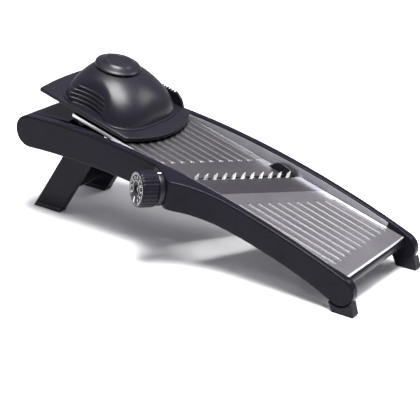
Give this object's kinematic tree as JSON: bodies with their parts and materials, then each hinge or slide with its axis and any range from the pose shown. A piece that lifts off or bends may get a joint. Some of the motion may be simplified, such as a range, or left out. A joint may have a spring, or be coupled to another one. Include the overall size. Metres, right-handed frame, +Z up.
{
  "type": "mandoline slicer",
  "caption": "Angled kitchen mandoline with a ribbed steel deck, diagonal blade, julienne comb, thickness dial, folding rear stand and a domed sliding food holder.",
  "frame": {"origin": "on the floor plane, under the middle of the bounding box", "axes": "+X along the deck, downhill towards the front feet; +Y towards the left-hand rail as the user faces +X; +Z up"},
  "size_m": [0.3942, 0.161, 0.1658],
  "materials": {
    "gloss_black": "gloss",
    "satin_black": "satin",
    "rubber_black": "matte",
    "brushed_steel": "brushed along the deck",
    "bright_steel": "polished",
    "dial_print": "printed"
  },
  "bodies": {
    "base": {"right_rail": "gloss_black", "left_rail": "gloss_black", "right_liner_rear": "bright_steel", "right_liner_front": "bright_steel", "left_liner_rear": "bright_steel", "left_liner_front": "bright_steel", "rear_handle": "satin_black", "handle_screw_right_1": "bright_steel", "handle_screw_right_2": "bright_steel", "handle_screw_left_1": "bright_steel", "handle_screw_left_2": "bright_steel", "front_crossbar": "satin_black", "front_foot_right": "rubber_black", "front_foot_left": "rubber_black", "output_plate": "brushed_steel", "blade": "brushed_steel", "blade_bridge": "satin_black", "blade_screw_1": "bright_steel", "blade_screw_2": "bright_steel", "blade_screw_3": "bright_steel", "ramp_hinge_pin": "bright_steel", "stand_pivot_rod": "bright_steel", "stand_spacer_right": "satin_black", "stand_spacer_left": "satin_black", "dial_bush": "satin_black", "dial_collar": "gloss_black"},
    "ramp": {"input_ramp": "brushed_steel", "ramp_carrier": "satin_black"},
    "dial": {"dial_knob": "gloss_black", "dial_face": "dial_print", "dial_shaft": "bright_steel", "dial_cam": "satin_black", "cam_retaining_ring": "bright_steel", "dial_screw": "bright_steel"},
    "comb": {"julienne_comb": "bright_steel", "comb_carrier": "satin_black"},
    "stand": {"stand_leg_right": "satin_black", "stand_leg_left": "satin_black", "stand_pad_right": "rubber_black", "stand_pad_left": "rubber_black", "stand_crossbar": "satin_black"},
    "holder": {"holder_shell": "satin_black", "grip_pad_left": "satin_black", "grip_pad_right": "satin_black"},
    "plunger": {"holder_cap": "satin_black", "plunger_rod": "bright_steel", "prong_disc": "satin_black", "disc_screw": "bright_steel"}
  },
  "joints": [
    {"name": "stand_fold", "type": "hinge", "parent": "base", "child": "stand", "pos_m": [-0.11898, 0.018, 0.088], "axis": [0, -1, 0], "range_deg": [0, 105]},
    {"name": "dial_turn", "type": "hinge", "parent": "base", "child": "dial", "pos_m": [-0.00678, -0.0524, 0.0746], "axis": [-0.4823, -0.866, 0.1317], "range_deg": [-140, 125]},
    {"name": "ramp_tilt", "type": "hinge", "parent": "base", "child": "ramp", "pos_m": [-0.12198, 0.018, 0.1083], "axis": [0, 1, 0], "range_deg": [-1.09, 0.97]},
    {"name": "comb_drop", "type": "slide", "parent": "base", "child": "comb", "axis": [-0.2785, 0, -0.9604], "range_m": [0, 0.008]},
    {"name": "holder_slide", "type": "slide", "parent": "base", "child": "holder", "axis": [0.9859, 0, -0.1676], "range_m": [0, 0.19]},
    {"name": "holder_plunger", "type": "slide", "parent": "holder", "child": "plunger", "axis": [0.2634, 0, 0.9647], "range_m": [0, 0.018]}
  ],
  "couplings": [
    {"joint": "ramp_tilt", "follows": "dial_turn", "ratio": 0.00776}
  ]
}
